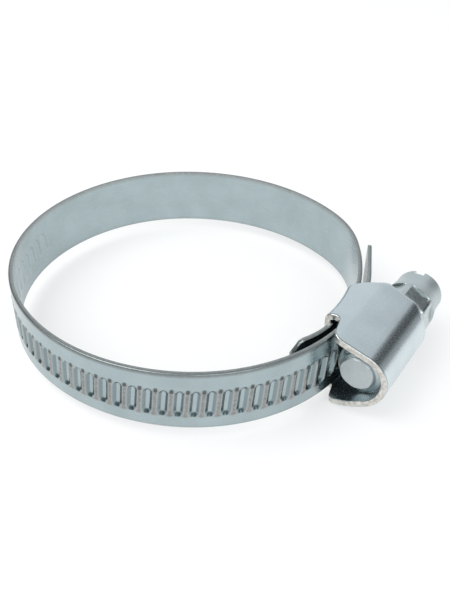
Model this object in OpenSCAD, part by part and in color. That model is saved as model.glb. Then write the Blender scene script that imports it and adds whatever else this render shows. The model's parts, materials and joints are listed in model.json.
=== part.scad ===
// Worm-drive hose clamp, 9 mm band, open to a 48.5 mm clear bore.
// The ring's axis is Z. The origin is on the axis of the round seat for the hose, half way
// up the band. The housing is on the +X side, and the screw lies along Y with its head at +Y.

/* [Band] */
// Width of the band, along the ring's axis
band_w = 9; // [8.8:0.1:9.2]
// Thickness of the band
band_t = 0.7; // [0.6:0.05:0.75]
// Radius of the round seat on the far side of the ring
bore_r = 24.25; // [24:0.05:24.3]
// Inner radius of the ring where it bends as it closes
ring_r = 25; // [24.95:0.05:25.05]
// Distance from the seat's axis to the axis of the layers in the housing
ring_x = 1.1; // [1:0.05:1.2]
// Inner radius of the fixed layer that lies on the saddle
fixed_r = 24.25; // [24.22:0.01:24.3]
// Inner radius of the threaded layer that the worm drives
threaded_r = 25.55; // [25.5:0.01:25.6]
// Length of the straight tail past the housing
tail_l = 7.4; // [5:0.1:9]
// Length of the curled tongue of the fixed end
tongue_l = 6.2; // [5.5:0.1:6.5]

/* [Slots] */
// Pitch of the slots, along the middle of the strip
slot_pitch = 1.97; // [1.96:0.01:1.98]
// Width of one pressed slot
slot_w = 1.45; // [1.3:0.05:1.5]
// Length of one pressed slot
slot_l = 4.4; // [4:0.1:5]
// Depth of one pressed slot
slot_d = 0.38; // [0.36:0.01:0.4]
// Height of the slots' middle above the band's middle
slot_z = -0.4; // [-0.5:0.1:0]

/* [Housing] */
// Thickness of the housing's sheet
sheet_t = 0.9; // [0.85:0.05:0.95]
// Outer radius of the wrap over the worm
wrap_r = 4.5; // [4.45:0.05:4.6]
// Inner radius of the saddle under the band
saddle_r = 23.3; // [23.25:0.01:23.32]
// Half the height of the housing
housing_h = 6.1; // [6.1:0.05:6.3]
// Y of the wrap's front edge, round the worm's tip
wrap_y0 = -5.9; // [-6.2:0.1:-5.6]
// Y of the wrap's rear edge, at the head
wrap_y1 = 8.5; // [8.4:0.1:8.6]
// Y of the saddle's front edge
saddle_y0 = -2.6; // [-3:0.1:-2]
// Y of the saddle's rear edge
saddle_y1 = 5; // [4.6:0.1:5.4]

/* [Screw] */
// Pitch of the worm's thread
pitch = 2; // [1.99:0.01:2.01]
// Distance from the layers' axis to the screw's axis
screw_r = 29.35; // [29.3:0.01:29.4]
// Height of the screw's axis above the band's middle
screw_z = -0.4; // [-0.5:0.1:-0.3]
// Outer radius of the worm
worm_r = 3.4; // [3.35:0.01:3.42]
// Core radius of the worm
core_r = 2.5; // [2.4:0.05:2.6]
// Size across the flats of the hex head
hex_af = 7; // [6.5:0.1:7]
// Width of the driver slot
drive_w = 1.4; // [1:0.1:1.6]
// Depth of the driver slot
drive_d = 1.1; // [1:0.1:2.2]

/* [Hidden] */
$fn = 96;
eps = 0.02;
hair = 0.002;
big = 40;

// Angles about the layers' axis
hinge_a = [60.5, 180, 299.5];
hinge_gap = 0.12;
seat_half = 58.8;
fixed_a = [-8, 22];
tail_a = 24;
slots_back = 25;
slots_ahead = 18;
tongue_r = 12;
lead = atan(pitch / (2 * PI * worm_r));

layers = [ring_x, 0];
screw_x = ring_x + screw_r;

// Turns the worm so that its thread lies in the slots. The slots gain a little on it as the
// ring closes, so the thread starts mesh_lag off their middles.
mesh_lag = 0.13;
worm_phase = -26;
worm_y0 = -4.4;
worm_y1 = 6.3;
tip_y = -4.9;
lip_y = [7, 7.8];
lip_r = 2.85;
shank_r = 2.6;
hex_y = [8.8, 12.2];
hex_a = 27;
cap_r = 3.9;
cap_y = 15.1;
boss_y = 17;
boss_r = 3.45;
drive_a = 85;

// Housing corners, as seen from above
run_x = [ring_x + 25.65, ring_x + 25.8];
corner_r = 0.7;
neck_r = 1.8;
bend_r = 1.25;
knee_x = ring_x + 26.2;
seam_z = -0.4;
dimple_r = 1.1;
dimple_fit = 0.05;
dimple_z = [-2.9, 2.1];
dimple_y = 1.7;

// ---- plane geometry ----

function dir(a) = [cos(a), sin(a)];
function left(a) = [-sin(a), cos(a)];
function on_layer(r, a) = layers + r * dir(a);
function sweep_to(from, to) = (to - from + 720) % 360;

// An arc is [centre, inner radius, first angle, sweep], and the band grows outward from it
function arc_about(c, r, a0, a1) = [c, r, a0, sweep_to(a0, a1)];

function arc_from(p, h, q) =
    let (n = left(h), r = (q - p) * (q - p) / (2 * n * (q - p)), c = p + r * n, v = q - c)
    [c, r, h - 90, sweep_to(h - 90, atan2(v[1], v[0]))];

function arc_into(p, q, h) =
    let (n = left(h), r = (p - q) * (p - q) / (2 * n * (p - q)), c = q + r * n, v = p - c)
    [c, r, atan2(v[1], v[0]), sweep_to(atan2(v[1], v[0]), h - 90)];

// One arc from p that reaches q with heading hq, and the heading it starts with
function start_heading(p, q, hq) =
    let (v = q - p)
    2 * atan2(v[1], v[0]) - hq;

// An arc from p with heading h that runs into a circle about the layers' axis, and that circle's arc
function onto_layer(p, h, radius, last) =
    let (
        n = left(h),
        v = p - layers,
        r = (radius * radius - v * v) / (2 * (v * n + radius)),
        c = p + r * n,
        a = atan2(c[1] - layers[1], c[0] - layers[0])
    )
    [arc_about(c, r, h - 90, a), arc_about(layers, radius, a, last)];

// Two arcs that leave p with heading hp and reach q with heading hq
function biarc(p, hp, q, hq) =
    let (
        v = q - p,
        t = dir(hp) + dir(hq),
        k = 2 * (1 - dir(hp) * dir(hq)),
        d = (sqrt((v * t) * (v * t) + k * (v * v)) - v * t) / k,
        j = (p + q + d * (dir(hp) - dir(hq))) / 2
    )
    [arc_from(p, hp, j), arc_into(j, q, hq)];

function seat_end(side) = bore_r * dir(180 - side * seat_half);
function hinge_at(i) = i == 1 ? [-bore_r, 0] : on_layer(ring_r, hinge_a[i]);

// The band runs anticlockwise, and its two halves mirror each other
heading_1 = start_heading(hinge_at(0), seat_end(1), 270 - seat_half);
hinge_heading = [heading_1, 270, 180 - heading_1];

fixed_arcs = concat(
    [arc_about(layers, fixed_r, fixed_a[0], fixed_a[1])],
    biarc(on_layer(fixed_r, fixed_a[1]), fixed_a[1] + 90, hinge_at(0), heading_1)
);
arc_1_arcs = [
    arc_into(hinge_at(0), seat_end(1), 270 - seat_half),
    arc_about([0, 0], bore_r, 180 - seat_half, 180)
];
arc_2_arcs = [
    arc_about([0, 0], bore_r, 180, 180 + seat_half),
    arc_from(seat_end(-1), seat_half - 90, hinge_at(2))
];
threaded_arcs = onto_layer(hinge_at(2), 180 - heading_1, threaded_r, tail_a);

// Places along a run of arcs, by length along the middle of the strip
function arc_length(arc) = (arc[1] + band_t / 2) * arc[3] * PI / 180;
function run_length(arcs, i = 0) = i < len(arcs) ? arc_length(arcs[i]) + run_length(arcs, i + 1) : 0;

module sector(c, r0, r1, a0, sweep) {
    translate(c)
        intersection() {
            difference() {
                circle(r = r1);
                circle(r = r0);
            }
            polygon([
                [0, 0],
                2 * big * dir(a0),
                2 * big * dir(a0 + sweep / 2),
                2 * big * dir(a0 + sweep)
            ]);
        }
}

// ---- band ----

// Neighbouring pieces of the strip run into each other by eps, and every other one is
// thinner by a hair on each side, so that they join as one clean solid
module strip(arcs) {
    for (i = [0:len(arcs) - 1]) {
        arc = arcs[i];
        more = eps / arc[1] * 180 / PI;
        inset = i % 2 * hair;
        linear_extrude(height = band_w, center = true)
            sector(
                arc[0],
                arc[1] + inset,
                arc[1] + band_t - inset,
                arc[2] - more,
                arc[3] + 2 * more
            );
    }
}

module hinge_cut(i) {
    translate([hinge_at(i)[0], hinge_at(i)[1], 0])
        rotate([0, 0, hinge_heading[i]])
            cube([hinge_gap, 6 * band_t, band_w + 2], center = true);
}

module slot_outline() {
    square([slot_w, slot_l - slot_w], center = true);
    for (side = [-1, 1])
        translate([0, side * (slot_l - slot_w) / 2])
            circle(d = slot_w, $fn = 32);
}

// One pressed slot on an arc, s along the strip from the arc's start
module slot(arc, s) {
    translate([arc[0][0], arc[0][1], slot_z])
        rotate([0, 0, arc[2] + s / (arc[1] + band_t / 2) * 180 / PI])
            translate([arc[1] + band_t - slot_d, 0, 0])
                rotate([-lead, 0, 0])
                    rotate([90, 0, 90])
                        linear_extrude(height = 1)
                            slot_outline();
}

// The slots from number first to number last, counted from the hinge beside the housing,
// on arcs that start at length s0 from it
module slots_on(arcs, s0, first, last, i = 0) {
    s1 = s0 + arc_length(arcs[i]);
    for (k = [first:last]) {
        s = (k + 0.5) * slot_pitch;
        if (s > s0 && s < s1)
            slot(arcs[i], s - s0);
    }
    if (i + 1 < len(arcs))
        slots_on(arcs, s1, first, last, i + 1);
}

module tongue() {
    start = on_layer(fixed_r, fixed_a[0]);
    centre = start - tongue_r * dir(fixed_a[0]);
    sweep = tongue_l / tongue_r * 180 / PI;
    linear_extrude(height = band_w, center = true)
        sector(
            centre,
            tongue_r + hair,
            tongue_r + band_t - hair,
            fixed_a[0] - sweep,
            sweep + eps / tongue_r * 180 / PI
        );
}

// The tongue's upper corner is trimmed off at a slant
module tongue_trim() {
    end = on_layer(fixed_r, fixed_a[0] - 16);
    translate([end[0], end[1], band_w / 2])
        rotate([55, 0, fixed_a[0] - 16])
            cube([6, 5, 3], center = true);
}

module band_fixed_end() {
    color("lightsteelblue")
        difference() {
            union() {
                strip(fixed_arcs);
                tongue();
            }
            hinge_cut(0);
            tongue_trim();
            for (z = dimple_z)
                dimple(z, dimple_r + dimple_fit, 2);
        }
}

module band_arc_1() {
    color("lightsteelblue")
        difference() {
            strip(arc_1_arcs);
            hinge_cut(0);
            hinge_cut(1);
        }
}

module band_arc_2() {
    color("lightsteelblue")
        difference() {
            strip(arc_2_arcs);
            hinge_cut(1);
            hinge_cut(2);
            slots_on(arc_2_arcs, -run_length(arc_2_arcs), -slots_back, -1);
        }
}

module tail() {
    p = on_layer(threaded_r, tail_a);
    translate([p[0], p[1], 0])
        rotate([0, 0, tail_a])
            translate([2 * hair, -eps, -band_w / 2])
                cube([band_t - 4 * hair, tail_l + eps, band_w]);
}

module band_threaded_end() {
    color("lightsteelblue")
        difference() {
            union() {
                strip(threaded_arcs);
                tail();
            }
            hinge_cut(2);
            slots_on(threaded_arcs, 0, 0, slots_ahead);
        }
}

// ---- housing ----

top_z = housing_h;
knee = [knee_x - screw_x, top_z];
wrap_a = atan2(knee[1], knee[0]) - acos(wrap_r / norm(knee));
knee_in = knee - sheet_t * [cos(wrap_a) / (1 + sin(wrap_a)), 1];

// Half of the wrap's section: the arc over the worm and the plate that slopes up to the knee
module half_wrap() {
    sector([0, 0], wrap_r - sheet_t, wrap_r, 0, wrap_a);
    polygon([
        [knee_in[0], top_z],
        knee,
        wrap_r * dir(wrap_a),
        (wrap_r - sheet_t) * dir(wrap_a),
        knee_in
    ]);
}

module wrap() {
    translate([screw_x, wrap_y1, screw_z])
        rotate([90, 0, 0])
            linear_extrude(height = wrap_y1 - wrap_y0) {
                half_wrap();
                mirror([0, 1])
                    half_wrap();
            }
}

// The rear edge is drawn in, so that the worm can't leave past the head
module lip() {
    translate([screw_x, lip_y[1], screw_z])
        rotate([90, 0, 0])
            linear_extrude(height = lip_y[1] - lip_y[0])
                sector([0, 0], lip_r, wrap_r - sheet_t / 2, -80, 160);
}

module bend_section() {
    translate([saddle_r + bend_r, top_z - bend_r])
        sector([0, 0], bend_r - sheet_t, bend_r, 90, 90);
}

// The saddle and its two bends, round the layers' axis
module saddle() {
    a0 = asin(saddle_y0 / saddle_r);
    a1 = asin(saddle_y1 / saddle_r);
    translate([ring_x, 0, screw_z])
        rotate([0, 0, a0])
            rotate_extrude(angle = a1 - a0, $fn = 180) {
                translate([saddle_r, bend_r - top_z])
                    square([sheet_t, 2 * (top_z - bend_r)]);
                bend_section();
                mirror([0, 1])
                    bend_section();
            }
}

module flat_plates() {
    for (z = [screw_z - top_z, screw_z + top_z - sheet_t])
        translate([0, 0, z])
            linear_extrude(height = sheet_t)
                difference() {
                    translate([ring_x + saddle_r, wrap_y0])
                        square([screw_x + knee_in[0] - ring_x - saddle_r, wrap_y1 - wrap_y0]);
                    translate(layers)
                        circle(r = saddle_r + bend_r, $fn = 180);
                }
}

// What a rounded corner takes off a square one
module corner(x, y, turn, r = corner_r) {
    translate([x, y])
        rotate(turn)
            difference() {
                translate([-eps, -eps])
                    square(r + eps);
                translate([r, r])
                    circle(r = r, $fn = 48);
            }
}

// The housing from above: a wide middle over the worm and a narrower end round the band

module plan() {
    difference() {
        union() {
            translate([0, saddle_y0])
                square([screw_x, saddle_y1 - saddle_y0]);
            translate([run_x[0], wrap_y0])
                square([big, -wrap_y0]);
            translate([run_x[1], 0])
                square([big, wrap_y1]);
            corner(run_x[0], saddle_y0, 180);
            corner(run_x[1], saddle_y1, 90);
        }
        corner(run_x[0], wrap_y0, 0);
        corner(run_x[1], wrap_y1, 270);
        corner(screw_x + wrap_r, wrap_y1, 180, neck_r);
    }
}

module dimple(z, r, height) {
    a = asin(dimple_y / saddle_r);
    translate([ring_x, 0, z])
        rotate([0, 0, a])
            translate([saddle_r + sheet_t / 2, 0, 0])
                rotate([0, 90, 0])
                    cylinder(h = height, r = r, $fn = 48);
}

module housing() {
    color("lightsteelblue")
        difference() {
            union() {
                intersection() {
                    union() {
                        wrap();
                        lip();
                        saddle();
                        flat_plates();
                    }
                    translate([0, 0, screw_z - 2 * top_z])
                        linear_extrude(height = 4 * top_z)
                            plan();
                }
                for (z = dimple_z)
                    dimple(z, dimple_r, sheet_t / 2 + band_t);
            }
            translate([ring_x + saddle_r - 2, -big / 2, seam_z - 0.1])
                cube([3, big, 0.2]);
        }
}

// ---- screw ----

// The worm: rings of points along Y whose radius follows a right-hand thread's trapezoid.
// The grid is sheared so that the thread's edges run along it.
worm_n = 18;
worm_step = pitch / worm_n;
worm_m = ceil((worm_y1 + 0.4 - tip_y) / worm_step);
crest_n = 2;
foot_n = 6;
fade_l = 0.6;

function clamped(x) = max(0, min(1, x));
function worm_y(i) = tip_y + i * worm_step;
function worm_rise(k) = clamped((foot_n - min(k, worm_n - k)) / (foot_n - crest_n));
function worm_fade(y) = clamped(min(y - worm_y0, worm_y1 - y) / fade_l);
function worm_tip(y) = min(core_r, core_r - 0.4 + y - tip_y);
function worm_radius(i, j) =
    worm_tip(worm_y(i)) + (worm_r - core_r) * worm_rise((i + j) % worm_n) * worm_fade(worm_y(i));

module worm() {
    points = [
        for (i = [0:worm_m], j = [0:worm_n - 1])
            let (a = 180 + 360 * j / worm_n, r = worm_radius(i, j))
            [r * cos(a), worm_y(i), r * sin(a)]
    ];
    sides = [
        for (i = [0:worm_m - 1], j = [0:worm_n - 1])
            let (m = (j + 1) % worm_n, p = i * worm_n, q = p + worm_n)
            each [[p + j, p + m, q + j], [p + m, q + m, q + j]]
    ];
    ends = [
        [for (j = [worm_n - 1:-1:0]) j],
        [for (j = [0:worm_n - 1]) worm_m * worm_n + j]
    ];
    polyhedron(points = points, faces = concat(sides, ends), convexity = 10);
}

module along_y(y0, y1, r0, r1) {
    translate([0, y0, 0])
        rotate([-90, 0, 0])
            cylinder(h = y1 - y0, r1 = r0, r2 = r1);
}

// Six flats, then a round cap that stands out past them and tapers to the slotted end.
module hex_head() {
    translate([0, hex_y[0], 0])
        rotate([-90, 0, 0])
            rotate([0, 0, hex_a])
                cylinder(h = hex_y[1] - hex_y[0], d = hex_af / cos(30), $fn = 6);
    along_y(hex_y[1] - 0.1, cap_y, cap_r, boss_r);
    along_y(cap_y - 0.1, boss_y - 0.4, boss_r - 0.02, boss_r - 0.02);
    along_y(boss_y - 0.4, boss_y, boss_r - 0.02, boss_r - 0.4);
}

module screw() {
    color("silver")
        translate([screw_x, 0, screw_z])
            difference() {
                union() {
                    rotate([0, worm_phase, 0])
                        worm();
                    along_y(worm_y1 + 0.2, hex_y[0] + 0.1, shank_r, shank_r);
                    hex_head();
                }
                translate([0, boss_y, 0])
                    rotate([0, drive_a, 0])
                        cube([2 * hex_af, 2 * drive_d, drive_w], center = true);
            }
}

housing();
screw();
band_fixed_end();
band_arc_1();
band_arc_2();
band_threaded_end();
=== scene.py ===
import json
import math

import bpy
import numpy as np
from mathutils import Matrix, Vector


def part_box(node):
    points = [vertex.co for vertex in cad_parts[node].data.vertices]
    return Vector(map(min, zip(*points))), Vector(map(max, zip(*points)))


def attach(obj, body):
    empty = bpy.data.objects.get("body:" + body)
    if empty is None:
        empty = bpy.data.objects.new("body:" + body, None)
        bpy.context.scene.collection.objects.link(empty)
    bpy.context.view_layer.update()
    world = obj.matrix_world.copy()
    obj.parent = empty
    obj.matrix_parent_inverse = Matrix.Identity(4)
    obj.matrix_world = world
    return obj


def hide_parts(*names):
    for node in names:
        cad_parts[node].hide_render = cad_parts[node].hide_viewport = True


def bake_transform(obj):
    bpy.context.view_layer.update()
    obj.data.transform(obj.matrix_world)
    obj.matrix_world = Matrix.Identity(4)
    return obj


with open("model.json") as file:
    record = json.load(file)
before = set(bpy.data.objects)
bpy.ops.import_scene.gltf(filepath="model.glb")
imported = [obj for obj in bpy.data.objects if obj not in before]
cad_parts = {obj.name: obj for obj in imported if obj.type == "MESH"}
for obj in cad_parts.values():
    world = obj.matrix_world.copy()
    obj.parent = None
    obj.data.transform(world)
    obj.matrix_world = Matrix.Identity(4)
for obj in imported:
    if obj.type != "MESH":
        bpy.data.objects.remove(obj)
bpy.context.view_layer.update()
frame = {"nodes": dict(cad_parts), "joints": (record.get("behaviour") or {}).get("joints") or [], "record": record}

MM = 0.001
RECORD = frame["record"]
JOINTS = {j["name"]: j for j in frame["joints"]}
MOUNTS = {m["name"]: m for m in RECORD["mounts"]}


def joint_mm(name):
    """A joint's point, in millimetres."""
    return np.array(JOINTS[name]["pos_m"]) / MM


def box_mm(node):
    """A CAD node's lowest and highest corner, in millimetres."""
    lo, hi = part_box(node)
    return np.array(lo) / MM, np.array(hi) / MM


# ---- sizes, in millimetres, that follow the CAD part ----

BAND_LO, BAND_HI = box_mm("band_arc_1")
HOUSING_LO, HOUSING_HI = box_mm("housing")
SCREW_LO, SCREW_HI = box_mm("screw")
BORE_R = MOUNTS["hose_bore"]["dims"]["r_mm"]
BAND_H = (BAND_HI[2] - BAND_LO[2]) / 2
BAND_T = -BAND_LO[0] - BORE_R
SCREW_X, _, SCREW_Z = joint_mm("screw_spin")
HINGE = joint_mm("band_bend_1")[:2]
SCREW_R = 29.35  # the screw's axis, from the axis the overlapping layers turn about
LAYER_X = SCREW_X - SCREW_R
LAYERS = np.array([LAYER_X, 0.0])
SEAT_HALF = 58.8
FIXED_R, FIXED_A0, FIXED_A1 = 24.25, -8.0, 22.0
THREADED_R, TAIL_A = 25.55, 24.0
TAIL_L, TONGUE_L, TONGUE_R = 7.4, 6.2, 12.0
SLOT_PITCH, SLOT_L, SLOT_Z = 1.97, 4.4, SCREW_Z
SLOTS_BACK, SLOTS_AHEAD = 25, 18  # slots behind and ahead of the last hinge
LEAN = math.tan(math.radians(5.3))  # of the slots, off the strip's width


def direction(a):
    """The unit vector at the angle a."""
    return np.array([math.cos(a), math.sin(a)])


def left(a):
    """The unit vector a quarter turn anticlockwise of the angle a."""
    return np.array([-math.sin(a), math.cos(a)])


def turn(a0, a1):
    """The anticlockwise angle from a0 to a1."""
    return (a1 - a0) % (2 * math.pi)


def quarter(n):
    """The angles of n points spread over a quarter turn."""
    return np.linspace(0, math.pi / 2, n)


class Arc:
    """A stretch of the band's inner face. The band grows outward from it."""

    def __init__(self, centre, radius, a0, sweep):
        self.c, self.r, self.a0, self.sweep = np.array(centre, float), radius, a0, sweep
        self.length = (radius + BAND_T / 2) * sweep

    def at(self, s):
        n = direction(self.a0 + s / (self.r + BAND_T / 2))
        return self.c + self.r * n, n


class Line:
    """A straight stretch of the band's inner face."""

    def __init__(self, start, heading, length):
        self.p, self.d, self.length = np.array(start, float), direction(heading), length
        self.n = direction(heading - math.pi / 2)

    def at(self, s):
        return self.p + s * self.d, self.n


def arc_from(p, h, q):
    """The arc that leaves p at heading h and ends at q."""
    n, v = left(h), q - p
    r = v @ v / (2 * n @ v)
    c = p + r * n
    end = q - c
    return Arc(c, r, h - math.pi / 2, turn(h - math.pi / 2, math.atan2(end[1], end[0])))


def arc_into(p, q, h):
    """The arc that starts at p and reaches q at heading h."""
    n, v = left(h), p - q
    r = v @ v / (2 * n @ v)
    c = q + r * n
    start = p - c
    a0 = math.atan2(start[1], start[0])
    return Arc(c, r, a0, turn(a0, h - math.pi / 2))


def biarc(p, hp, q, hq):
    """Two arcs with a smooth joint, from p at heading hp to q at heading hq."""
    v, t = q - p, direction(hp) + direction(hq)
    k = 2 * (1 - direction(hp) @ direction(hq))
    d = (math.sqrt((v @ t) ** 2 + k * (v @ v)) - v @ t) / k
    j = (p + q + d * (direction(hp) - direction(hq))) / 2
    return [arc_from(p, hp, j), arc_into(j, q, hq)]


def onto_layer(p, h, radius, last):
    """An arc from p that meets the layer of this radius smoothly, then the layer to angle last."""
    n, v = left(h), p - LAYERS
    r = (radius**2 - v @ v) / (2 * (v @ n + radius))
    c = p + r * n
    a = math.atan2(c[1], c[0] - LAYER_X)
    start = Arc(c, r, h - math.pi / 2, turn(h - math.pi / 2, a))
    return [start, Arc(LAYERS, radius, a, turn(a, last))]


def band_run():
    """The band from the tongue's end to the tail's end, and the length to each of its hinges."""
    rad = math.radians
    out = HINGE - LAYERS
    ring_r = np.linalg.norm(out) - BAND_T / 2
    bend_a = math.atan2(out[1], out[0])
    hinge_1 = LAYERS + ring_r * direction(bend_a)
    hinge_3 = hinge_1 * np.array([1, -1])
    seat_1 = BORE_R * direction(math.pi - rad(SEAT_HALF))
    seat_2 = seat_1 * np.array([1, -1])
    v = seat_1 - hinge_1
    heading = 2 * math.atan2(v[1], v[0]) - rad(270 - SEAT_HALF)
    a0, a1 = rad(FIXED_A0), rad(FIXED_A1)
    start = LAYERS + FIXED_R * direction(a0)
    sweep = TONGUE_L / TONGUE_R
    near = [
        Arc(start - TONGUE_R * direction(a0), TONGUE_R, a0 - sweep, sweep),
        Arc(LAYERS, FIXED_R, a0, a1 - a0),
        *biarc(LAYERS + FIXED_R * direction(a1), a1 + math.pi / 2, hinge_1, heading),
    ]
    far = [
        arc_into(hinge_1, seat_1, rad(270 - SEAT_HALF)),
        Arc((0, 0), BORE_R, math.pi - rad(SEAT_HALF), rad(SEAT_HALF)),
        Arc((0, 0), BORE_R, math.pi, rad(SEAT_HALF)),
        arc_from(seat_2, rad(SEAT_HALF - 90), hinge_3),
    ]
    end = onto_layer(hinge_3, math.pi - heading, THREADED_R, rad(TAIL_A))
    tail = LAYERS + THREADED_R * direction(rad(TAIL_A))
    end.append(Line(tail, rad(TAIL_A) + math.pi / 2, TAIL_L))
    s1 = sum(a.length for a in near)
    s2 = s1 + sum(a.length for a in far[:2])
    s3 = s1 + sum(a.length for a in far)
    return near + far + end, (s1, s2, s3)


RUN, (S1, S2, S3) = band_run()
RUN_L = sum(a.length for a in RUN)


def on_run(s):
    """The inner face's point and outward normal at length s along the band."""
    for a in RUN[:-1]:
        if s <= a.length:
            return a.at(s)
        s -= a.length
    return RUN[-1].at(s)


# ---- meshes ----


def loft(name, loops, smooth_angle, uvs, **looks):
    """A closed mesh through loops of equal length, in millimetres, with both ends capped."""
    loops = np.array(loops, float)
    m, n = loops.shape[:2]
    ids = np.arange(m * n).reshape(m, n)
    a, b = ids[:-1], ids[1:]
    nxt = np.roll(ids, -1, axis=1)
    quads = np.stack([a, b, nxt[1:], nxt[:-1]], axis=-1).reshape(-1, 4)
    faces = [list(q) for q in quads.tolist()]
    faces.append(ids[0].tolist())
    faces.append(ids[-1][::-1].tolist())
    return mesh_piece(name, loops.reshape(-1, 3), faces, smooth_angle, uvs, **looks)


def mesh_piece(name, points, faces, smooth_angle, uvs, **looks):
    """A mesh object. Each of its looks is a number at every point that its material reads."""
    mesh = bpy.data.meshes.new(name)
    mesh.from_pydata((np.asarray(points) * MM).tolist(), [], faces)
    mesh.validate()
    verts = mesh.vertices
    volume = sum(verts[p.vertices[0]].co.dot(p.normal) * p.area for p in mesh.polygons)
    if volume < 0:
        mesh.flip_normals()
    for look, values in looks.items():
        layer = mesh.attributes.new(look, "FLOAT", "POINT")
        layer.data.foreach_set("value", np.asarray(values, np.float32).ravel())
    uv = mesh.uv_layers.new(name="along")
    flat = np.asarray(uvs, float).reshape(-1, 2)
    for loop in mesh.loops:
        uv.data[loop.index].uv = flat[loop.vertex_index]
    mesh.shade_smooth()
    mesh.set_sharp_from_angle(angle=math.radians(smooth_angle))
    obj = bpy.data.objects.new(name, mesh)
    bpy.context.scene.collection.objects.link(obj)
    return obj


# ---- the band ----

POCKET_D, POCKET_HALF, WALL = 0.39, 0.69, 0.44  # depth, half width and width of the sloping wall
RIB_H, CREST_H = 0.1, 0.05  # height of the ribs at their ends and between
CHAMFER, CHAMFER_U, CHAMFER_Z = 1.63, 0.74, 0.673  # the pocket's cut corners: reach and slopes
RIB_END, RIB_EDGE = 0.1, 0.5  # how far a rib outlasts its pocket, and over what length it fades
OUT_CORNER, IN_CORNER = 0.2, 0.1
EDGE_MID = 0.3  # height of the points halfway down the strip's edge
TONGUE_TAPER, TONGUE_UP, TONGUE_LOW = 1.4, 0.42, 0.05  # length, and shares cut off above and below
TAIL_TAPER, TAIL_CUT = 0.9, 0.09
LEAN_REACH = 2.3  # the slots' lean stops this far from their middle
INNER_SHARE = 0.35  # the share of a pocket's depth that shows on the inner face


def clamp(x, lo=0.0, hi=1.0):
    """x, held between lo and hi."""
    return np.minimum(np.maximum(x, lo), hi)


def pocket_depth(u, z):
    """How far a place lies inside a pocket's outline, below 0 on the ribs."""
    u, up = np.abs(u), np.abs(z)
    chamfer = CHAMFER - CHAMFER_U * u - CHAMFER_Z * up
    return np.minimum(np.minimum(POCKET_HALF - u, chamfer), SLOT_L / 2 - up)


def pressing(u, z):
    """Height over the plain strip, u across a pocket from its middle and z along it."""
    inside = pocket_depth(u, z)
    u, up = np.abs(u), np.abs(z)
    end = SLOT_L / 2
    pocket = -POCKET_D * clamp(inside / WALL)
    rib = CREST_H * clamp(-inside / 0.14) * clamp((end + RIB_END - up) / RIB_EDGE)
    peak = (RIB_H - CREST_H) * clamp(1 - abs(u - SLOT_PITCH / 2) / 0.42)
    rib = rib + peak * clamp(1 - abs(up - end + 0.12) / 0.34)
    return np.where(inside > 0, pocket, rib)


def pressed_shade(u, z):
    """Painted shade on a pocket's sloping walls and low end, and a painted dark reflection at the ribs' upper
    ends, 1 for the darkest.
    """
    inside = pocket_depth(u, z)
    wall = clamp(inside / 0.04) * clamp((WALL - inside) / 0.04 + 0.5)
    low_end_shade = clamp((-z - 1.6) / 0.15) * clamp((0.42 - np.abs(u)) / 0.15)
    # one upper cut corner stays unshaded, a painted highlight
    chamfer = clamp((z - 1.62) / 0.12) * clamp((-u - 0.2) / 0.12)
    shade = wall * (0.42 + 0.45 * low_end_shade) * (1 - chamfer)
    near_end = clamp((0.34 - np.abs(z - SLOT_L / 2 + 0.15)) / 0.1)
    # a painted dark reflection on the ribs' upper ends
    rib_end_reflection = near_end * clamp((np.abs(u) - 0.72) / 0.08)
    return np.maximum(shade, 0.75 * rib_end_reflection * (inside < 0))


SLOT_S0 = S3 - SLOTS_BACK * SLOT_PITCH
SLOT_S1 = S3 + SLOTS_AHEAD * SLOT_PITCH


def slotted(s):
    """1 where the band carries slots, fading to 0 beside them."""
    return clamp((s - SLOT_S0) / 0.3) * clamp((SLOT_S1 - s) / 0.3)


def lapped(s):
    """1 on the fixed end's outer face where the tail stands over it; there the band gets painted shade for the gap
    under the tail.
    """
    first = TONGUE_L + FIXED_R * math.radians(FIXED_A1 - FIXED_A0)
    return clamp((s - first + 3) / 2) * clamp((first + TAIL_L - s) / 2)


def band_columns(s0, s1):
    """Lengths at which the band gets a column of points, closer together across each slot."""
    plain_step, tail_step, closest = 0.6, 0.4, 0.03
    across = np.array([-0.985, -0.86, -0.78, -0.72, -0.67, -0.55, -0.4, -0.28, -0.22, -0.09])
    across = np.concatenate([across, -across[:0:-1]])
    out = [s0, s1]
    first = math.floor((max(s0, SLOT_S0 - 1) - S3) / SLOT_PITCH)
    last = math.ceil((min(s1, SLOT_S1 + 1) - S3) / SLOT_PITCH)
    for k in range(first, last):
        out.extend(S3 + (k + 0.5) * SLOT_PITCH + across)
    out.extend(np.arange(s0, min(s1, SLOT_S0), plain_step))
    out.extend(np.arange(max(s0, SLOT_S1), s1, tail_step))
    out = sorted(x for x in out if s0 <= x <= s1)
    keep = [out[0]]
    for x in out[1:]:
        if x - keep[-1] > closest:
            keep.append(x)
    keep[-1] = s1
    return keep


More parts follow.
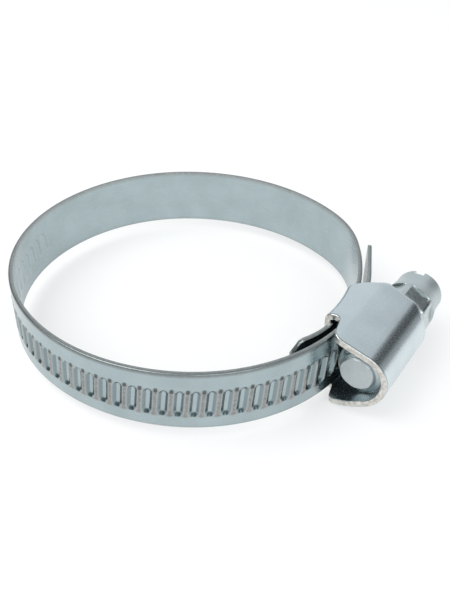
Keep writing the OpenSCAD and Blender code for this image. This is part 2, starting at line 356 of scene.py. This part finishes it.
def band_section():
    """The strip's outline: z, height over the inner face, and which points lie on either face."""
    margin = BAND_H - OUT_CORNER
    beside = np.array([1.3, 1.55, 1.7, 1.82, 1.94, 2.07, 2.2, 2.3, 2.45])
    slot_rows = SLOT_Z + np.concatenate([-beside[::-1], np.linspace(-1.0, 1.0, 7), beside])
    below = np.linspace(-margin, slot_rows[0], 5)[:-1]
    above = np.linspace(slot_rows[-1], margin, 6)[1:]
    rows = np.concatenate([below, slot_rows, above])
    top = [(margin, BAND_T)]
    top += [
        (margin + OUT_CORNER * math.sin(a), BAND_T - OUT_CORNER * (1 - math.cos(a)))
        for a in quarter(5)[1:]
    ]
    top += [(BAND_H, EDGE_MID)]
    top += [
        (BAND_H - IN_CORNER * (1 - math.cos(a)), IN_CORNER * (1 - math.sin(a)))
        for a in quarter(4)
    ]
    bottom = [(-z, f) for z, f in top[::-1]]
    n, k = len(rows) - 2, len(top)
    zs = np.array([*rows[1:-1], *[z for z, _ in top], *rows[-2:0:-1], *[z for z, _ in bottom]])
    faces_out = np.zeros(len(zs), bool)
    faces_out[:n] = True
    faces_in = np.zeros(len(zs), bool)
    faces_in[n + k : 2 * n + k] = True
    fs = np.where(faces_out, BAND_T, 0.0)
    fs[n : n + k] = [f for _, f in top]
    fs[2 * n + k :] = [f for _, f in bottom]
    return zs, fs, faces_out, faces_in


def band_piece(name, s0, s1):
    """One length of the band, with its slots and its narrowed ends."""
    zs, fs, faces_out, faces_in = band_section()
    rim = ~(faces_out | faces_in)
    rim_top, rim_low = rim & (zs > 0), rim & (zs < 0)
    loops, uvs, wear, shade = [], [], [], []
    for s in band_columns(s0, s1):
        tongue = clamp((TONGUE_TAPER - s) / TONGUE_TAPER)
        z = np.where(zs > 0, zs * (1 - TONGUE_UP * tongue), zs * (1 - TONGUE_LOW * tongue**4))
        tail = clamp((s - RUN_L + TAIL_TAPER) / TAIL_TAPER)
        z = z * (1 - TAIL_CUT * tail**3)
        near_ends = clamp((s - SLOT_S0 + 2) / 2) * clamp((SLOT_S1 + 2 - s) / 2)
        se = s + LEAN * clamp(z - SLOT_Z, -LEAN_REACH, LEAN_REACH) * near_ends
        u = (s - S3) % SLOT_PITCH - SLOT_PITCH / 2
        h = pressing(u, z - SLOT_Z) * slotted(s)
        lift = np.where(faces_out, h, 0.0)
        f = np.maximum(fs - RIB_H + lift, 0.0)
        f = np.where(faces_in, INNER_SHARE * np.minimum(h, 0.0), f)
        loop = []
        for si, zi, fi in zip(se, z, f, strict=True):
            p, n = on_run(si)
            q = p + n * fi
            loop.append((q[0], q[1], zi))
        loops.append(loop)
        uvs.append(list(zip(se, z, strict=True)))
        crest = clamp(lift / CREST_H)
        wear.append(np.where(rim_top, 0.6, np.where(rim_low, 0.25, 0.9 * crest)))
        # painted shade in the gap between the layers: the inner face near the tail's end and the outer face under
        # the tail
        gap_shade = clamp((s - RUN_L + 8) / 2) * faces_in + lapped(s) * faces_out
        # painted shade on the outer half of the upper rim's rounding
        dark = np.where(rim_top & (fs > 0.45), 0.4, 0.85 * gap_shade)
        # painted shade in the pockets and a painted dark reflection on the ribs' ends
        pressed = pressed_shade(u, z - SLOT_Z) * slotted(s) * faces_out
        shade.append(np.maximum(dark, pressed))
    return loft(name, loops, 40, uvs, wear=wear, shade=shade)


near = band_piece("band_near", 0.0, (S1 + S2) / 2)
far = band_piece("band_far", (S1 + S2) / 2, (S2 + S3) / 2)
front = band_piece("band_front", (S2 + S3) / 2, RUN_L)


# ---- the housing ----

SHEET = 0.9
WRAP_R = HOUSING_HI[0] - SCREW_X
TOP = HOUSING_HI[2] - SCREW_Z
SADDLE_R, BEND_R, KNEE = 23.3, 1.25, 26.2
KNEE_FILLET, SEAM_HALF, SHEET_EDGE = 0.55, 0.04, 0.16
WRAP_Y0, WRAP_Y1 = HOUSING_LO[1], HOUSING_HI[1]
SADDLE_Y0, SADDLE_Y1 = -2.6, 5.0
FRONT_OUT, FRONT_SLANT, FRONT_X = 0.6, 0.135, 26.3  # the front edge's slant in the photograph
LOW_CUT = 0.75  # how far the front edge stands back on the underside
REAR_STEP = 1.9


def half_section():
    """The sheet's middle line from the saddle's seam to the wrap's crown.

    Its points are x from the layers' axis and z from the screw's.
    """
    mid = WRAP_R - SHEET / 2
    top = TOP - SHEET / 2
    bend = BEND_R - SHEET / 2
    saddle_x = SADDLE_R + SHEET / 2
    points = [(saddle_x, z) for z in np.linspace(SEAM_HALF, TOP - BEND_R, 14)]
    cx, cz = SADDLE_R + BEND_R, TOP - BEND_R
    points += [
        (cx + bend * math.cos(a), cz + bend * math.sin(a))
        for a in np.linspace(math.pi, math.pi / 2, 11)[1:]
    ]
    knee = np.array([KNEE - SCREW_R, top])
    reach = math.hypot(*knee)
    wrap_a = math.atan2(knee[1], knee[0]) - math.acos(mid / reach)
    tangent = mid * direction(wrap_a)
    slope = tangent - knee
    slope /= np.linalg.norm(slope)
    a, b = knee - np.array([KNEE_FILLET, 0]), knee + slope * KNEE_FILLET
    points += [(x, top) for x in np.linspace(cx, SCREW_R + a[0], 16)[1:]]
    curve = [
        (1 - t) ** 2 * a + 2 * t * (1 - t) * knee + t * t * b for t in np.linspace(0, 1, 7)[1:]
    ]
    curve += [b + (tangent - b) * t for t in np.linspace(0, 1, 8)[1:]]
    curve += [mid * direction(t) for t in np.linspace(wrap_a, 0, 24)[1:]]
    points += [(SCREW_R + x, z) for x, z in curve]
    return np.array(points)


def smooth_step(x, x0, x1):
    """0 up to x0, 1 from x1 on, and a smooth rise between."""
    t = clamp((x - x0) / (x1 - x0))
    return t * t * (3 - 2 * t)


def front_edge(x, z):
    """Y of the sheet's front edge, x from the layers' axis and z over the screw's axis."""
    slant = WRAP_Y0 - FRONT_OUT + FRONT_SLANT * (x - FRONT_X)
    slant += LOW_CUT * smooth_step(-z, 0.55 * TOP, TOP) * (1 - smooth_step(x, 26.5, 30))
    start = SADDLE_Y0 + 0.3 * smooth_step(x, 24.3, 25.2) * smooth_step(z, 4.6, TOP)
    share = 0.18 * smooth_step(x, 24.6, 25.8) + 0.64 * smooth_step(x, 25.4, 26.2)
    share += 0.18 * smooth_step(x, 25.9, 27.0)
    return start + (slant - start) * share


def rear_edge(x):
    """Y of the sheet's rear edge, x from the layers' axis."""
    start = SADDLE_Y1 - 0.5 + 0.5 * smooth_step(x, 23.5, 24.3)
    rise = REAR_STEP * smooth_step(x, 24.1, 25.8)
    rise += (WRAP_Y1 - SADDLE_Y1 - REAR_STEP) * smooth_step(x, 25.6, 27.4)
    return start + rise - smooth_step(x, 31.2, 33.2)


def housing_piece():
    """The folded sheet, swept along its middle line from seam to seam."""
    half = half_section()
    mirrored = half[::-1][1:] * np.array([1, -1])
    path = np.concatenate([half, mirrored])
    step = np.gradient(path, axis=0)
    step /= np.linalg.norm(step, axis=1)[:, None]
    normal = np.stack([-step[:, 1], step[:, 0]], axis=1)
    steps = np.linalg.norm(np.diff(path, axis=0), axis=1)
    length = np.concatenate([[0], np.cumsum(steps)])
    r, skin = SHEET_EDGE, SHEET / 2
    rows = np.linspace(0, 1, 26)
    lip = [0.05, 0.11, 0.17]
    loops, uvs, wear, shade = [], [], [], []
    for (x, z), (nx, nz), ell in zip(path, normal, length, strict=True):
        y0, y1 = front_edge(x, z), rear_edge(x)
        outer = [(y0 + r + (y1 - y0 - 2 * r) * t, skin) for t in rows]
        outer[1:1] = [(y0 + r + w, skin) for w in lip]
        rear = [(y1 - r + r * math.sin(a), skin - r + r * math.cos(a)) for a in quarter(4)[1:]]
        front_low = [(y0 + y1 - y, -o) for y, o in rear]
        rear_low = [(y, -o) for y, o in rear[::-1]]
        front_up = [(y, -o) for y, o in front_low[::-1]]
        inner = [(y, -o) for y, o in outer[::-1]]
        ring = outer + rear + rear_low + inner + front_low + front_up
        # the saddle curves with the ring, and the plate and the wrap run straight
        curved = 1 - smooth_step(x, 24.3, 25.6)
        loop = []
        for y, o in ring:
            xr, zr = x + nx * o, z + nz * o
            a = y / (SADDLE_R + skin)
            flat = np.array([LAYER_X + xr, y])
            polar = np.array([LAYER_X + xr * math.cos(a), xr * math.sin(a)])
            q = flat * (1 - curved) + polar * curved
            loop.append((q[0], q[1], zr + SCREW_Z))
        loops.append(loop)
        uvs.append([(y, ell) for y, _ in ring])
        edge = [1.0] * (len(rear) * 2)
        wear.append([0.0] * len(outer) + edge + [0.0] * len(inner) + edge)
        # a thin dark line just behind the front edge
        shade.append([0.0, 0.7, 0.7] + [0.0] * (len(ring) - 3))
    return loft("housing_shell", loops, 40, uvs, wear=wear, shade=shade)


shell = housing_piece()


# ---- the screw ----

TIP_Y, WORM_Y1, HEAD_Y0, HEAD_Y1 = SCREW_LO[1], 6.3, 8.8, SCREW_HI[1]
CORE_R, WORM_R, SHANK_R = 2.5, 3.4, 2.6
PITCH, PHASE = 2.0, math.radians(26)
THREAD_FOOT, FLANK = 0.62, 0.36  # half the thread's width at its foot, and its flank's
TIP_BEVEL, BURR = 0.35, 0.022
FLATS, HEX_R, HEX_Y1, HEX_A = 7.0, 3.92, 12.2, math.radians(33)
CAP_R, CAP_FLARE, CAP_Y, CAP_L = 3.42, 0.44, 15.1, 2.8  # the round cap, widest by the hexagon
CAP_EDGE, LEDGE = 0.55, 0.06
DRIVE_HALF, DRIVE_D, DRIVE_A = 0.7, 1.1, math.radians(85)
UV_R = 3  # the radius at which the screw's texture keeps its size


def screw_grid(name, ys, angles, radius, wear_at, matt_at, shade_at):
    """A closed mesh about the screw's axis. Its radius depends on place and angle."""
    points, wear, matt, shade = [], [], [], []
    for y in ys:
        for a in angles:
            r = radius(y, a)
            points.append((SCREW_X + r * math.cos(a), y, SCREW_Z + r * math.sin(a)))
            wear.append(wear_at(r))
            matt.append(matt_at(y))
            shade.append(shade_at(y))
    m, n = len(ys), len(angles)
    faces = []
    for i in range(m - 1):
        for j in range(n):
            k = (j + 1) % n
            p, q = i * n, (i + 1) * n
            faces.append([p + j, p + k, q + j])
            faces.append([p + k, q + k, q + j])
    faces.append(list(range(n))[::-1])
    faces.append([(m - 1) * n + j for j in range(n)])
    uvs = [(p[1], math.atan2(p[2] - SCREW_Z, p[0] - SCREW_X) * UV_R) for p in points]
    return mesh_piece(name, points, faces, 28, uvs, wear=wear, matt=matt, shade=shade)


def worm_radius(y, a):
    """A round core with a blunt thread, and a bevelled tip with a slight burr."""
    turns = (a + PHASE - math.pi) / (2 * math.pi) + (y - TIP_Y) / PITCH
    off = abs(turns - round(turns)) * PITCH
    fade = clamp(min(y - TIP_Y - TIP_BEVEL, WORM_Y1 - y) / 0.5)
    rise = clamp((THREAD_FOOT - off) / FLANK)
    rise = rise * rise * (3 - 2 * rise) * 0.35 + rise * 0.65
    core = CORE_R - max(0.0, TIP_BEVEL - (y - TIP_Y)) ** 1.5 * 1.2
    burr = math.sin(7 * a) + 0.6 * math.sin(17 * a + 1) + 0.5 * math.sin(29 * a + 2)
    core += BURR * burr * clamp((TIP_Y + 0.4 - y) / 0.3)
    if y > WORM_Y1 + 0.15:
        core = SHANK_R
    return core + (WORM_R - 0.02 - CORE_R) * rise * fade


def worm_wear(r):
    """The thread's crest and the rim of its tip are rubbed."""
    return max(clamp((r - 3.2) * 6), 0.2 * (r < CORE_R - 0.05))


def screw_thread():
    """The worm and the plain shank behind it, which ends inside the head."""
    n = 60
    step = PITCH / n
    ys = list(np.arange(TIP_Y, WORM_Y1 + 0.4, step)) + [7.0, 8.0, HEAD_Y0 + 0.3]
    angles = [2 * math.pi * j / n for j in range(n)]
    return screw_grid(
        "screw_worm",
        ys,
        angles,
        worm_radius,
        worm_wear,
        lambda y: clamp((TIP_Y + 0.9 - y) / 0.4),
        lambda y: 0.0,
    )


def head_radius(y, a):
    """Six flats, then a round cap that stands out past them and tapers to the slotted end."""
    b = (a - HEX_A) % (math.pi / 3) - math.pi / 6
    flat = min(FLATS / 2 / math.cos(b), HEX_R) - 0.5 * clamp((HEAD_Y0 + 0.5 - y) / 0.5) ** 2
    cap = CAP_R + CAP_FLARE * clamp((CAP_Y - y) / CAP_L) ** 1.2
    end = clamp((y - HEAD_Y1 + CAP_EDGE) / CAP_EDGE)
    cap -= CAP_EDGE * (1 - math.sqrt(1 - end * end))
    ledge = clamp((y - HEX_Y1 + LEDGE) / (2 * LEDGE))
    return flat + (cap - flat) * ledge


def screw_head():
    """The hex head with its cap, and the driver slot cut across its end."""
    ys = [HEAD_Y0, 8.9, 9.05, 9.2, 9.4, 10.4, 11.4]
    ys += [HEX_Y1 + d for d in (-LEDGE, -LEDGE / 2, LEDGE / 2, LEDGE, 0.1)]
    ys += [*np.linspace(12.5, HEAD_Y1 - 0.6, 9)]
    ys += [HEAD_Y1 - CAP_EDGE + CAP_EDGE * math.sin(a) for a in quarter(9)]
    angles = [2 * math.pi * j / 180 + math.radians(1) for j in range(180)]
    head = screw_grid(
        "screw_head",
        ys,
        angles,
        head_radius,
        lambda r: 0.0,
        lambda y: clamp((y - HEX_Y1 + 0.1) / 0.1),
        # painted shade on the ledge between the hexagon and the cap, which dims its glint
        lambda y: 0.1 * (abs(y - HEX_Y1) < 0.07),
    )
    reach, beyond = 6.0, 2.0
    turned = Matrix.Rotation(DRIVE_A, 3, "Y")
    end = Vector((SCREW_X, HEAD_Y1, SCREW_Z))
    points = [
        (turned @ Vector((x, y, z)) + end) * MM
        for x in (-reach, reach)
        for y in (-DRIVE_D, beyond)
        for z in (-DRIVE_HALF, DRIVE_HALF)
    ]
    quads = [(0, 1, 3, 2), (4, 6, 7, 5), (0, 4, 5, 1), (2, 3, 7, 6), (0, 2, 6, 4), (1, 5, 7, 3)]
    cutter = bpy.data.meshes.new("slot_cutter")
    cutter.from_pydata(points, [], quads)
    tool = bpy.data.objects.new("slot_cutter", cutter)
    bpy.context.scene.collection.objects.link(tool)
    cut = head.modifiers.new("slot", "BOOLEAN")
    cut.object, cut.solver = tool, "EXACT"
    bpy.context.view_layer.update()
    dg = bpy.context.evaluated_depsgraph_get()
    made = bpy.data.meshes.new_from_object(head.evaluated_get(dg))
    head.modifiers.clear()
    head.data = made
    bpy.data.objects.remove(tool)
    return head


worm = screw_thread()
head = screw_head()


# ---- materials ----

# the dark teal of painted shade on the band and the screw's ledge; the housing uses it for a thin line behind its
# front edge
SHADE_COLOUR = (0.035, 0.06, 0.066)


def zinc(name, colour, worn, rough, streak, fine, stretch_by, grain_bump):
    """Zinc plate: cloudy spangle with fine streaks, and duller, warmer metal where it is worn."""
    m = bpy.data.materials.new(name)
    m.use_nodes = True
    nt = m.node_tree
    bsdf = nt.nodes["Principled BSDF"]
    bsdf.inputs["Metallic"].default_value = 1.0
    link = nt.links.new

    def add(kind, inputs=(), **settings):
        """A node with these settings. Its inputs are given numbers, or linked to outputs."""
        n = nt.nodes.new(kind)
        for k, v in settings.items():
            setattr(n, k, v)
        for k, v in dict(inputs).items():
            if isinstance(v, bpy.types.NodeSocket):
                link(v, n.inputs[k])
            else:
                n.inputs[k].default_value = v
        return n

    def noise(vector, scale, detail):
        inputs = {"Vector": vector, "Scale": scale, "Detail": detail}
        return add("ShaderNodeTexNoise", inputs).outputs["Fac"]

    def ramp(fac, stops):
        n = add("ShaderNodeValToRGB", {"Fac": fac})
        for element, (place, c) in zip(n.color_ramp.elements, stops, strict=True):
            element.position, element.color = place, (*c, 1)
        return n.outputs["Color"]

    def mix(a, b, share):
        inputs = {"A": a, "B": b, "Factor": share}
        return add("ShaderNodeMix", inputs, data_type="RGBA").outputs["Result"]

    def look(attribute):
        return add("ShaderNodeAttribute", attribute_name=attribute).outputs["Fac"]

    def bump(height, strength, distance, **onto):
        inputs = {"Height": height, "Strength": strength, "Distance": distance, **onto}
        return add("ShaderNodeBump", inputs).outputs["Normal"]

    place = add("ShaderNodeTexCoord").outputs["Object"]
    along = add("ShaderNodeUVMap", uv_map="along").outputs["UV"]
    stretch = add("ShaderNodeMapping", {"Vector": along, "Scale": (*stretch_by, 1.0)})
    streaks = noise(stretch.outputs["Vector"], 3.0, 6.0)
    cloud = noise(place, 260.0, 5.0)
    grain = noise(place, fine, 4.0)

    plate = ramp(cloud, ((0.32, [c * 0.9 for c in colour]), (0.68, colour)))
    rubbed = ramp(grain, ((0.35, [c * 0.66 for c in worn]), (0.62, worn)))
    # the shade look mixes in the dark teal: painted shade on the band and the screw
    plate = mix(mix(plate, rubbed, look("wear")), (*SHADE_COLOUR, 1), look("shade"))
    link(plate, bsdf.inputs["Base Color"])

    spread = {
        "Value": streaks,
        "From Min": 0.3,
        "From Max": 0.7,
        "To Min": rough - 0.25 * streak,
        "To Max": rough + 0.3 * streak,
    }
    polish = add("ShaderNodeMapRange", spread).outputs["Result"]
    blur = add("ShaderNodeMath", {0: look("matt"), 1: 0.2, 2: polish}, operation="MULTIPLY_ADD")
    link(blur.outputs["Value"], bsdf.inputs["Roughness"])

    drawn = bump(streaks, streak, 0.00002)
    link(bump(grain, grain_bump, 0.00003, Normal=drawn), bsdf.inputs["Normal"])
    return m


band_zinc = zinc(
    "band_zinc",
    colour=(0.41, 0.49, 0.51),
    worn=(0.34, 0.32, 0.30),
    rough=0.22,
    streak=0.3,
    fine=2600,
    stretch_by=(0.05, 4.0),
    grain_bump=0.2,
)
sheet_zinc = zinc(
    "sheet_zinc",
    colour=(0.66, 0.74, 0.77),
    worn=(0.72, 0.70, 0.66),
    rough=0.25,
    streak=0.12,
    fine=1800,
    stretch_by=(1.2, 1.6),
    grain_bump=0.12,
)
screw_zinc = zinc(
    "screw_zinc",
    colour=(0.56, 0.62, 0.63),
    worn=(0.40, 0.40, 0.40),
    rough=0.24,
    streak=0.12,
    fine=2200,
    stretch_by=(0.6, 0.6),
    grain_bump=0.1,
)

for obj, material, slot in (
    (near, band_zinc, "zinc_band"),
    (far, band_zinc, "zinc_band"),
    (front, band_zinc, "zinc_band"),
    (shell, sheet_zinc, "zinc_housing"),
    (worm, screw_zinc, "zinc_screw"),
    (head, screw_zinc, "zinc_screw"),
):
    obj.data.materials.clear()
    obj.data.materials.append(material)
for name, node in frame["nodes"].items():
    own = {"housing": sheet_zinc, "screw": screw_zinc}.get(name, band_zinc)
    node.data.materials.clear()
    node.data.materials.append(own)


# ---- the housing and the screw go with their bodies; the band pieces are baked where they lie ----


def point_at(s):
    """The band's inner face at length s, in metres."""
    p, _ = on_run(s)
    return (p[0] * MM, p[1] * MM, 0.0)


point_at(S1 - 11)
point_at(S1 + 11)
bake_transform(near)
point_at(S2 - 12)
point_at(S2 + 12)
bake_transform(far)
point_at(S3 - 12)
point_at(S3 + 10)
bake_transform(front)
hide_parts("band_fixed_end", "band_arc_1")
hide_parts("band_arc_2")
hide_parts("band_threaded_end")
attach(shell, "frame")
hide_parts("housing")
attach(worm, "screw")
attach(head, "screw")
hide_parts("screw")
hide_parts("screw")


# ---- floor, light and camera ----


def plain(name, colour, rough, glow):
    """An even dull surface that glows a little."""
    m = bpy.data.materials.new(name)
    m.use_nodes = True
    nt = m.node_tree
    bsdf = nt.nodes["Principled BSDF"]
    bsdf.inputs["Base Color"].default_value = (*colour, 1)
    bsdf.inputs["Roughness"].default_value = rough
    bsdf.inputs["Emission Color"].default_value = (1, 1, 1, 1)
    bsdf.inputs["Emission Strength"].default_value = glow
    return m


FLOOR_GAP = 0.05
FLOOR_HALF = 2.0  # metres
floor_z = (HOUSING_LO[2] - FLOOR_GAP) * MM
floor_mesh = bpy.data.meshes.new("floor")
floor_corners = [(-1, -1), (1, -1), (1, 1), (-1, 1)]
floor_mesh.from_pydata(
    [(x * FLOOR_HALF, y * FLOOR_HALF, floor_z) for x, y in floor_corners], [], [(0, 1, 2, 3)]
)
floor = bpy.data.objects.new("floor", floor_mesh)
floor_white = plain("floor_white", colour=(0.4, 0.4, 0.4), rough=0.9, glow=0.55)
floor.data.materials.append(floor_white)
bpy.context.scene.collection.objects.link(floor)


def area_light(name, place, size, power, colour):
    """A square of light at place, in metres, that faces the middle of the ring."""
    data = bpy.data.lights.new(name, "AREA")
    data.shape, data.size, data.size_y = "RECTANGLE", size, size
    data.energy, data.color = power, colour
    obj = bpy.data.objects.new(name, data)
    obj.location = place
    aim = -Vector(place)
    obj.rotation_mode = "QUATERNION"
    obj.rotation_quaternion = aim.to_track_quat("-Z", "Y")
    bpy.context.scene.collection.objects.link(obj)


area_light("key", place=(-0.25, -0.25, 0.55), size=0.5, power=2.5, colour=(1.0, 0.99, 0.97))
area_light("fill", place=(0.45, -0.35, 0.4), size=0.4, power=1.0, colour=(0.94, 0.98, 1.0))


def toward(azimuth, elevation):
    """The unit vector at these angles, in degrees."""
    a, e = math.radians(azimuth), math.radians(elevation)
    return (math.cos(e) * math.cos(a), math.cos(e) * math.sin(a), math.sin(e))


# direction, half angles where the dark is full and where it ends, level inside and outside
DARK_SIDES = (
    (toward(59, 25), 9, 17, 0.02, 0.85),
    (toward(-150, 20), 20, 55, 0.45, 1.0),
    (toward(40, 2), 12, 42, 0.42, 1.0),
)


def studio_world():
    """An even pale studio with three darker sides, which the metal mirrors as soft stripes."""
    world = bpy.data.worlds.new("studio")
    bpy.context.scene.world = world
    world.use_nodes = True
    nt = world.node_tree
    back = nt.nodes["Background"]
    coords = nt.nodes.new("ShaderNodeTexCoord")
    levels = []
    for place, inner, outer, inside, outside in DARK_SIDES:
        dot = nt.nodes.new("ShaderNodeVectorMath")
        dot.operation = "DOT_PRODUCT"
        dot.inputs[1].default_value = place
        nt.links.new(coords.outputs["Generated"], dot.inputs[0])
        ramp = nt.nodes.new("ShaderNodeMapRange")
        ramp.interpolation_type = "SMOOTHSTEP"
        ramp.inputs["From Min"].default_value = math.cos(math.radians(outer))
        ramp.inputs["From Max"].default_value = math.cos(math.radians(inner))
        ramp.inputs["To Min"].default_value = outside
        ramp.inputs["To Max"].default_value = inside
        nt.links.new(dot.outputs["Value"], ramp.inputs["Value"])
        levels.append(ramp.outputs["Result"])
    level = levels[0]
    for other in levels[1:]:
        times = nt.nodes.new("ShaderNodeMath")
        times.operation = "MULTIPLY"
        nt.links.new(level, times.inputs[0])
        nt.links.new(other, times.inputs[1])
        level = times.outputs[0]
    back.inputs["Color"].default_value = (0.93, 0.97, 1, 1)
    nt.links.new(level, back.inputs["Strength"])


studio_world()

# the photograph's camera: its turn, its tilt down, where it aims off that line, and its roll
YAW, TILT = math.radians(35.5), math.radians(35.644)
AIM_SIDE, AIM_UP, ROLL = math.radians(2.519), math.radians(-1.528), math.radians(0.673)
EYE_BACK, EYE_UP = 0.09496, 0.0681  # metres from the layers' axis
SENSOR, LENS = 36, 47.247

to_yaw = Matrix.Rotation(YAW, 3, "Z")
eye = to_yaw @ Vector((0, -EYE_BACK, EYE_UP)) + Vector((LAYER_X * MM, 0, 0))
side = Vector((1, 0, 0))
ahead = Vector((0, math.cos(TILT), -math.sin(TILT)))
up = side.cross(ahead)
ahead = ahead + math.tan(AIM_SIDE) * side + math.tan(AIM_UP) * up
ahead = (to_yaw @ ahead).normalized()
right = ahead.cross(Vector((0, 0, 1))).normalized()
above = right.cross(ahead)
x_axis = math.cos(ROLL) * right + math.sin(ROLL) * above
y_axis = -math.sin(ROLL) * right + math.cos(ROLL) * above
axes = Matrix([x_axis, y_axis, -ahead]).transposed().to_4x4()

lens = bpy.data.cameras.new("camera")
lens.sensor_width, lens.lens = SENSOR, LENS
lens.clip_start, lens.clip_end = 0.005, 10
camera = bpy.data.objects.new("camera", lens)
camera.matrix_world = Matrix.Translation(eye) @ axes
bpy.context.scene.collection.objects.link(camera)
bpy.context.scene.camera = camera
bpy.context.scene.view_settings.view_transform = "Standard"

bpy.context.view_layer.update()
